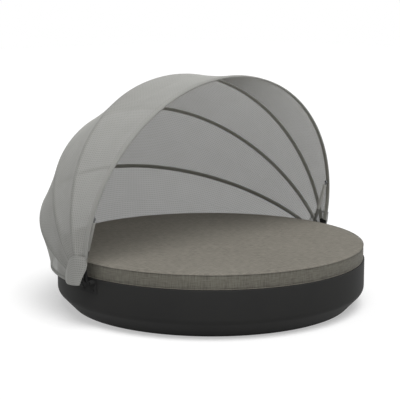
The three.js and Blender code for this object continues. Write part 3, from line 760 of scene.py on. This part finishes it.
# %% Turn each bow to its angle on the axle
DIPPED_REACH = 0.120
eye = make_eye()
for name, bow in BOWS.items():
    bar = make_bow(name, bow)
    side = bow["half_width"] * math.sin(bow["end"])
    bar = join(bar, copy_to(eye, (side, 0, 0)), copy_to(eye, (-side, 0, 0)))
    bar.rotation_euler = (math.radians(bow["angle"] - 90), 0, 0)
    bar.location = (0, AXLE_Y, AXLE_Z)
    settle(bar)
    smooth(bar, 40)
    dress(bar, f"bow_{name}_bar", f"{name}_bow", bow_coat, "bow", f"bow_{name}")
    # The lowest part of each leg and the eye are dipped in black plastic.
    bar.data.materials.append(plate_coat)
    for face in bar.data.polygons:
        reach = math.hypot(face.center.y - AXLE_Y, face.center.z - AXLE_Z)
        face.material_index = 1 if reach < DIPPED_REACH else 0
work_on(eye)
bpy.ops.object.delete()

# %% [markdown]
# ## The canopy
#
# The canopy is sewn from gores. Each gore is stretched between two bows and sags a little
# between them, because nothing holds its middle. A sheet that is placed by a formula fits
# its bows exactly, so it is made that way: a grid primitive gives the faces, and the formula
# gives each point its place.
#
# When the canopy folds, the bows come together and the cloth between them creases. A single
# sheet can't do that, so each gore is cut along its middle, and each half rides on its own bow.

# %% Points on the bows
def on_bow(bow, arch):
    """Across, up, and the outward direction at an angle from the crown."""
    sin, cos = math.sin(arch), math.cos(arch)
    length = math.hypot(bow["half_height"] * sin, bow["half_width"] * cos)
    return (bow["half_width"] * sin, CENTRE_RISE + bow["half_height"] * cos,
            bow["half_height"] * sin / length, bow["half_width"] * cos / length)


def cloth_point(bow, arch, toward_front, height=0.0):
    """A place on the bow's outer face, at rest."""
    across, up, out_across, out_up = on_bow(bow, arch)
    off = BAR_THICKNESS / 2 + CLOTH_GAP + height
    along = up + out_up * off
    turn = math.radians(bow["angle"])
    return Vector((
        across + out_across * off,
        AXLE_Y + along * math.cos(turn) - toward_front * math.sin(turn),
        AXLE_Z + along * math.sin(turn) + toward_front * math.cos(turn),
    ))


# %% Points between the bows
# A CAD bow has 44 steps, and the cloth leaves two free at each end, where the side flaps
# take over.
CAD_STEPS = 44
LAST_ROW = 1 - 2 * 2 / CAD_STEPS
AXLE = Vector((0, AXLE_Y, AXLE_Z))
SAG_SHARE = 0.02


def sagging(a, b, share):
    """A place between two edges, drawn towards the axle most at the middle."""
    middle = (a + b) / 2 - AXLE
    draw = 4 * share * (1 - share) * SAG_SHARE * (b - a).length / middle.length
    return AXLE + (a.lerp(b, share) - AXLE) * (1 - draw)


def gore_place(front, rear, share_across, share_over):
    row = LAST_ROW * (1 - 2 * share_across)
    a = cloth_point(front, row * front["end"], -BAR_WIDTH / 2)
    b = cloth_point(rear, row * rear["end"], BAR_WIDTH / 2)
    return sagging(a, b, share_over)


# %% The hem behind the seat
HEM_RADIUS = 1.094
HEM_LOW = 0.272
HEM_HIGH = 0.288
HEM_START_Y = 0.240


def hem_place(share_across, height, off=0.0):
    start = math.asin(HEM_START_Y / HEM_RADIUS)
    turn = math.pi / 2 - (1 - 2 * share_across) * (math.pi / 2 - start)
    reach = HEM_RADIUS - CLOTH_THICKNESS + off
    return Vector((reach * math.cos(turn), reach * math.sin(turn), height))


# %% Turn a grid into cloth
ROWS = 176


def lay_cloth(name, columns, place, body, finish, outward, thickness=CLOTH_THICKNESS,
              rows=ROWS):
    """A grid whose points are placed by place(share across, column), with UVs in metres."""
    cloth = add(bpy.ops.mesh.primitive_grid_add, x_subdivisions=columns,
                y_subdivisions=rows, size=1)
    points = [[place(row / rows, column) for column in range(columns + 1)]
              for row in range(rows + 1)]
    along = [0.0]
    for row in range(rows):
        along.append(along[-1] + (points[row + 1][0] - points[row][0]).length)
    over = []
    for row in range(rows + 1):
        run = [0.0]
        for column in range(columns):
            run.append(run[-1] + (points[row][column + 1] - points[row][column]).length)
        over.append(run)
    spot = []
    for vertex in cloth.data.vertices:
        row = round((vertex.co.y + 0.5) * rows)
        column = round((vertex.co.x + 0.5) * columns)
        spot.append((row, column))
        vertex.co = points[row][column]
    uv = cloth.data.uv_layers.active.data
    for loop in cloth.data.loops:
        row, column = spot[loop.vertex_index]
        uv[loop.index].uv = (along[row], over[row][column])
    cloth.data.update()
    middle = cloth.data.polygons[len(cloth.data.polygons) // 2]
    if middle.normal.dot(outward(middle.center)) < 0:
        pick_faces(cloth, lambda centre, normal: True)
        bpy.ops.mesh.flip_normals()
        close_edit()
    modify(cloth, "SOLIDIFY", thickness=thickness, offset=1.0)
    smooth(cloth, 50)
    dress(cloth, name, body, finish, "mesh_fabric")
    return cloth


def from_axle(centre):
    return centre - AXLE


# %% Cut and hang the three gores
# Each row: the two bows, the CAD node, its joint, and the share of its width that a folded
# half keeps.
OVER = 12
GORES = (
    ("front", "second", "canopy_panel_front", "front_bow_fold", 0.1206),
    ("second", "third", "canopy_panel_upper", "second_bow_fold", 0.1243),
    ("third", "rear", "canopy_panel_middle", "third_bow_fold", 0.1130),
)


def front_half(front, rear, start):
    def place(share, column):
        if column == 0:
            row = LAST_ROW * (1 - 2 * share)
            return cloth_point(front, row * front["end"], start)
        return gore_place(front, rear, share, 0.5 * (column - 1) / OVER)
    return place


def rear_half(front, rear):
    def place(share, column):
        if column == OVER + 1:
            row = LAST_ROW * (1 - 2 * share)
            return cloth_point(rear, row * rear["end"], CLOTH_GAP)
        return gore_place(front, rear, share, 0.5 + 0.5 * column / OVER)
    return place


def hang(cloth, node):
    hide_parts(node)
    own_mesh(cloth)


FRONT_EDGE = -0.004  # the front panel ends under the hem that wraps the bow
for front_name, rear_name, node, joint, keep in GORES:
    front, rear = BOWS[front_name], BOWS[rear_name]
    start = FRONT_EDGE if front_name == "front" else -CLOTH_GAP
    half = lay_cloth(f"{node}_fore", OVER + 1, front_half(front, rear, start),
                     f"{front_name}_bow", fabric, from_axle)
    hang(half, node)
    half = lay_cloth(f"{node}_aft", OVER + 1, rear_half(front, rear),
                     f"{rear_name}_bow", fabric, from_axle)
    hang(half, node)

# %% [markdown]
# The rear panel falls from the rear bow to a hem behind the drum. Its upper half folds with
# the bow and its lower half stays with the base, where a bar in the hem holds it.

# %% Hang the rear panel
rear_bow = BOWS["rear"]


def rear_place(share, share_down):
    row = LAST_ROW * (1 - 2 * share)
    edge = cloth_point(rear_bow, row * rear_bow["end"], -BAR_WIDTH / 2)
    return sagging(edge, hem_place(share, HEM_HIGH), share_down)


def rear_upper(share, column):
    if column == 0:
        row = LAST_ROW * (1 - 2 * share)
        return cloth_point(rear_bow, row * rear_bow["end"], -CLOTH_GAP)
    return rear_place(share, 0.5 * (column - 1) / OVER)


def rear_lower(share, column):
    if column == OVER + 1:
        return hem_place(share, HEM_LOW)
    return rear_place(share, 0.5 + 0.5 * column / OVER)


upper = lay_cloth("canopy_panel_rear_upper", OVER + 1, rear_upper, "rear_bow", fabric,
                  from_axle)
hang(upper, "canopy_panel_rear")
lower = lay_cloth("canopy_panel_rear_lower", OVER + 1, rear_lower, "base", fabric, from_axle)
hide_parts("canopy_panel_rear")
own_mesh(lower)

# %% [markdown]
# ### Seams and hems
#
# The gores are joined over each bow with a flat felled seam, four layers of cloth that let
# almost no light through; its cloth is drawn darker, as painted shade, so it shows as a
# slightly darker line. The front edge is a hem that wraps the front bow and leaves its inner
# face bare, and the rear edge is a broad hem that holds the bar; both hems are drawn darker
# too, as painted shade.

# %% Sew a strip along a bow
SEAM_HALF = 0.004
SEAM_LIFT = 0.0001


def strip_over(bow, offsets, height):
    def place(share, column):
        row = LAST_ROW * (1 - 2 * share)
        return cloth_point(bow, row * bow["end"], offsets[column], height)
    return place


for name in ("second", "third", "rear"):
    lay_cloth(f"seam_over_{name}_bow", 2,
              strip_over(BOWS[name], (SEAM_HALF, 0.0, -SEAM_HALF), CLOTH_THICKNESS + SEAM_LIFT),
              f"{name}_bow", seam_fabric_painted_shade, from_axle)

# %% Fold the front hem
# Each point: how far it lies towards the front, and its height above the bow's outer face.
ROLL = (
    (-0.0160, CLOTH_THICKNESS + 0.0002), (-0.0060, CLOTH_THICKNESS + 0.0003),
    (0.0060, CLOTH_THICKNESS + 0.0003), (0.0128, CLOTH_THICKNESS + 0.0002),
    (0.0143, -0.0008), (0.0147, -0.0040), (0.0145, -0.0076),
)


def roll_place(share, column):
    row = LAST_ROW * (1 - 2 * share)
    toward_front, height = ROLL[column]
    return cloth_point(BOWS["front"], row * BOWS["front"]["end"], toward_front, height)


lay_cloth("hem_front", len(ROLL) - 1, roll_place, "front_bow", hem_fabric_painted_shade,
          lambda centre: Vector((0, -1, 1)))

# %% Turn up the rear hem
# Each point: its height above the floor, and how far it stands off the bar's line.
REAR_HEM = ((0.2895, 0.0022), (0.280, 0.0026), (0.2705, 0.0022))
REAR_HEM_THICKNESS = 0.0009


def rear_hem_place(share, column):
    height, off = REAR_HEM[column]
    return hem_place(share, height, off)


lay_cloth("hem_rear", 2, rear_hem_place, "base", hem_fabric_painted_shade, from_axle,
          thickness=REAR_HEM_THICKNESS)

# %% [markdown]
# ### Side flaps
#
# A flap of the same cloth, drawn a little lighter as painted light, hangs over the axle at each
# side.
# It is sewn to the canopy's lower edge, stands forward of the front bow, and narrows to a tip.
# A curve through the CAD flap's corners gives its top edge, seen from above, and the sheet
# falls from there.

# %% Corners of the flap's top edge
def bow_side(bow, up):
    share = (up - CENTRE_RISE) / bow["half_height"]
    return bow["half_width"] * math.sqrt(1 - share ** 2)


FLAP_LAP = 0.014
FLAP_CLEARANCE = 0.004
END_SPARES = (0.004, 0, 0, 0.004)  # the first and the last bow need more room
SEAM_REACH = on_bow(BOWS["second"], LAST_ROW * BOWS["second"]["end"])[1]
FLAP_REACH = SEAM_REACH + FLAP_LAP
COVER = BAR_THICKNESS / 2 + CLOTH_THICKNESS + FLAP_CLEARANCE
flap_top = []
for bow, spare in zip(BOWS.values(), END_SPARES):
    turn = math.radians(bow["angle"])
    flap_top.append((bow_side(bow, FLAP_REACH) + COVER + spare,
                     AXLE_Y + FLAP_REACH * math.cos(turn),
                     AXLE_Z + FLAP_REACH * math.sin(turn)))
flap_top[0] = (flap_top[0][0], flap_top[0][1] - BAR_WIDTH / 2, flap_top[0][2])
flap_top.append((math.sqrt(HEM_RADIUS ** 2 - HEM_START_Y ** 2) + CLOTH_GAP,
                 HEM_START_Y, HEM_HIGH))
print("flap corners:", [[round(value, 4) for value in corner] for corner in flap_top])

# %% A smooth curve through values
def curve_through(values, at):
    """The height of a smooth curve through evenly spaced values."""
    last = len(values) - 1
    index = min(int(at * last), last - 1)
    t = at * last - index
    before = values[max(index - 1, 0)]
    a, b = values[index], values[index + 1]
    after = values[min(index + 2, last)]
    slope_a = (b - before) / 2
    slope_b = (after - a) / 2
    return ((2 * t ** 3 - 3 * t ** 2 + 1) * a + (t ** 3 - 2 * t ** 2 + t) * slope_a
            + (-2 * t ** 3 + 3 * t ** 2) * b + (t ** 3 - t ** 2) * slope_b)


def flap_side(y):
    """How far out the flap stands at a place from front to rear."""
    low, high = 0.0, 1.0
    for _ in range(30):
        middle = (low + high) / 2
        if curve_through([corner[1] for corner in flap_top], middle) < y:
            low = middle
        else:
            high = middle
    return curve_through([corner[0] for corner in flap_top], low)


# %% Hang both flaps
# The two flares differ because cloth never hangs the same twice.
FLAP_TIP_Y = -0.022
FLAP_TIP_RISE = 0.022
FLAP_FLARE = {"right": 0.008, "left": 0.027}
FLARE_CURVE = (0, 1, 0.4, 0)
FLAP_ROWS = 28
FLAP_COLUMNS = 20


def flap_place(mirror, flare_reach):
    def place(share, column):
        fall = column / FLAP_COLUMNS
        top_y = curve_through([corner[1] for corner in flap_top], share)
        top_z = curve_through([corner[2] for corner in flap_top], share)
        foot_y = FLAP_TIP_Y + (HEM_START_Y - FLAP_TIP_Y) * share
        foot_z = HEM_LOW + FLAP_TIP_RISE * (1 - share) ** 2
        # The flare dies out over the first quarter of the flap.
        flare = flare_reach * curve_through(FLARE_CURVE, fall) * max(0, 1 - 4 * share) ** 2
        y = top_y + (foot_y - top_y) * fall - flare
        return Vector((mirror * flap_side(y), y, top_z + (foot_z - top_z) * fall))
    return place


for name, mirror in (("right", 1), ("left", -1)):
    flap = lay_cloth(f"side_flap_{name}", FLAP_COLUMNS, flap_place(mirror, FLAP_FLARE[name]),
                     "base", flap_fabric_painted_light, lambda centre: Vector((centre.x, 0, 0)),
                     rows=FLAP_ROWS)
    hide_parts(f"apron_{name}")
    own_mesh(flap)

# %% [markdown]
# ## Gas struts
#
# A strut is a dark grey tube with a thinner rod that slides out of it, and an eyelet at
# each end. A light grey dust shroud is fixed to the rod's upper end and slides over the tube.
# All three are turned parts, so they are made from cylinders along one line and then leaned
# to the strut's angle.

# %% Turn one part of the strut
STRUT_FOOT = (1.0844, 0.052, 0.291)
STRUT_LEAN = math.radians(108.882)
STRUT_LENGTH = 0.4487
EYELET_RADIUS = 0.0087
EYELET_WIRE = 0.0034
EYELET_WIDENING = 1.7
EYELET_NECK = 0.0095
SHROUD_RADIUS = 0.0127
SHROUD_WALL = 0.0015
SHROUD_FILLET = 0.001
# From the upper eyelet back to both ends of the shroud and of the collar above it.
SHROUD_FROM, SHROUD_TO = 0.221, 0.021
COLLAR_FROM, COLLAR_TO = 0.026, 0.019


def turned_part(radius, start, end, cut):
    """A round bar along Z with both ends chamfered."""
    part = add(bpy.ops.mesh.primitive_cylinder_add, vertices=32, radius=radius,
               depth=end - start, location=(0, 0, (start + end) / 2))
    settle(part)
    chamfer(part, cut, 2, 50)
    return part


def eyelet(at):
    ring = add(
        bpy.ops.mesh.primitive_torus_add, location=(0, 0, at), rotation=(0, math.pi / 2, 0),
        major_segments=32, minor_segments=12, major_radius=EYELET_RADIUS,
        minor_radius=EYELET_WIRE,
    )
    ring.scale = (1, 1, EYELET_WIDENING)
    settle(ring)
    return ring


def shroud(start, end):
    """A tube along Z that is open at its lower end."""
    tube = turned_part(SHROUD_RADIUS, start, end, SHROUD_FILLET)
    pick_faces(tube, lambda centre, normal: centre.z < start + 1.2 * SHROUD_FILLET)
    bpy.ops.mesh.delete(type="FACE")
    close_edit()
    modify(tube, "SOLIDIFY", thickness=SHROUD_WALL, offset=-1.0)
    return tube


def lean(part, mirror):
    part.rotation_euler = (STRUT_LEAN - math.pi / 2, 0, 0)
    part.location = (mirror * STRUT_FOOT[0], STRUT_FOOT[1], STRUT_FOOT[2])
    settle(part)
    smooth(part, 40)


# %% Fit both struts
# Each turned part: its radius, where it starts and ends, and its chamfer.
for name, mirror in (("right", 1), ("left", -1)):
    tube = join(turned_part(0.0105, 0.017, 0.270, 0.0015),
                turned_part(0.005, EYELET_NECK, 0.018, 0.0004),
                turned_part(0.0112, 0.2615, 0.2697, 0.001), eyelet(0.0))
    lean(tube, mirror)
    dress(tube, f"strut_tube_{name}", f"{name}_cylinder", tube_coat, "hardware",
          f"gas_cylinder_{name}")
    rod = join(turned_part(0.006, 0.235, STRUT_LENGTH - EYELET_NECK, 0.0005),
               turned_part(0.0075, STRUT_LENGTH - COLLAR_FROM, STRUT_LENGTH - COLLAR_TO, 0.001),
               eyelet(STRUT_LENGTH))
    lean(rod, mirror)
    dress(rod, f"strut_rod_{name}", f"{name}_rod", rod_steel, "rod", f"gas_rod_{name}")
    cover = shroud(STRUT_LENGTH - SHROUD_FROM, STRUT_LENGTH - SHROUD_TO)
    lean(cover, mirror)
    dress(cover, f"strut_shroud_{name}", f"{name}_rod", shroud_coat, "rod",
          f"gas_rod_{name}")
print("strut joins:", [piece.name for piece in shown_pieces() if "strut" in piece.name])

# %% [markdown]
# ## Fittings from the CAD model
#
# The plates, bolts, beams and feet already have their real shape in the CAD model. They keep
# it, and only get their materials.

# %% Paint the CAD nodes that stay
CAD_FINISHES = (
    (("deck_panel",), deck_board),
    (("main_beam", "front_beam", "rear_beam", "centre_post", "post_", "backing_plate"),
     beam_metal),
    (("centre_foot", "foot_", "glide_"), foot_rubber),
    (("rear_rail", "rail_clip"), black_coat),
    (("pivot_", "strut_stud"), black_steel),
    (("bracket_",), plate_coat),
)
for node_name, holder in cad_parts.items():
    for starts, finish in CAD_FINISHES:
        if node_name.startswith(starts):
            for slot in holder.material_slots:
                slot.material = finish
            break

# %% [markdown]
# ## Floor, light and background
#
# The photograph is a cut-out on white with a soft shadow. A pale floor that also glows a
# little for the camera turns white where the light falls on it and stays grey in the shade.
# The light is one soft lamp from above, a little to the camera's side, and a weak sky that
# is stronger towards the left of the picture, so the right end of the drum turns darker. The
# sky is plain white for what the camera and reflections see.

# %% Lay the floor
FLOOR_GLOW = 0.43


def seen_directly(tree):
    """1 for the camera, for what it sees through cloth, and for reflections, else 0."""
    rays = add_node(tree, "ShaderNodeLightPath").outputs
    seen = rays["Is Camera Ray"]
    for kind in ("Is Transmission Ray", "Is Glossy Ray"):
        seen = calculate(tree, "MAXIMUM", seen, rays[kind])
    return seen


floor_finish, tree, shader = new_finish("pale_studio_floor", "#cfcfcf", 0.9)
glow = calculate(tree, "MULTIPLY", seen_directly(tree), FLOOR_GLOW)
shader.inputs["Emission Color"].default_value = (1, 1, 1, 1)
shader.inputs["Specular IOR Level"].default_value = 0.0
tree.links.new(glow, shader.inputs["Emission Strength"])
floor = add(bpy.ops.mesh.primitive_plane_add, size=60)
floor.name = "studio_floor"
floor.data.materials.append(floor_finish)

# %% Hang the lamp and set the sky
LAMP_FROM = Vector((-0.14, -0.35, 0.926))
LAMP_STRENGTH = 2.55
LAMP_SPREAD = math.radians(44)
SKY_SIDE = (-0.730, 0.684, 0.0)  # level, towards the left of the picture
SKY_WEAK, SKY_STRONG = 0.10, 0.42
lamp = add(bpy.ops.object.light_add, type="SUN", location=(0, 0, 6))
lamp.name = "soft_lamp"
lamp.data.energy = LAMP_STRENGTH
lamp.data.angle = LAMP_SPREAD
lamp.rotation_euler = LAMP_FROM.to_track_quat("Z", "Y").to_euler()
world = bpy.data.worlds.new("studio_sky")
bpy.context.scene.world = world
world.use_nodes = True
tree = world.node_tree
sky = tree.nodes["Background"]
sky.inputs["Color"].default_value = (1, 1, 1, 1)
toward = add_node(tree, "ShaderNodeVectorMath", {
    0: add_node(tree, "ShaderNodeTexCoord").outputs["Generated"], 1: SKY_SIDE,
}, operation="DOT_PRODUCT")
slope = remap(tree, toward.outputs["Value"], SKY_WEAK, SKY_STRONG, -1.0)
level = remap(tree, seen_directly(tree), slope, 1.0)
tree.links.new(level, sky.inputs["Strength"])
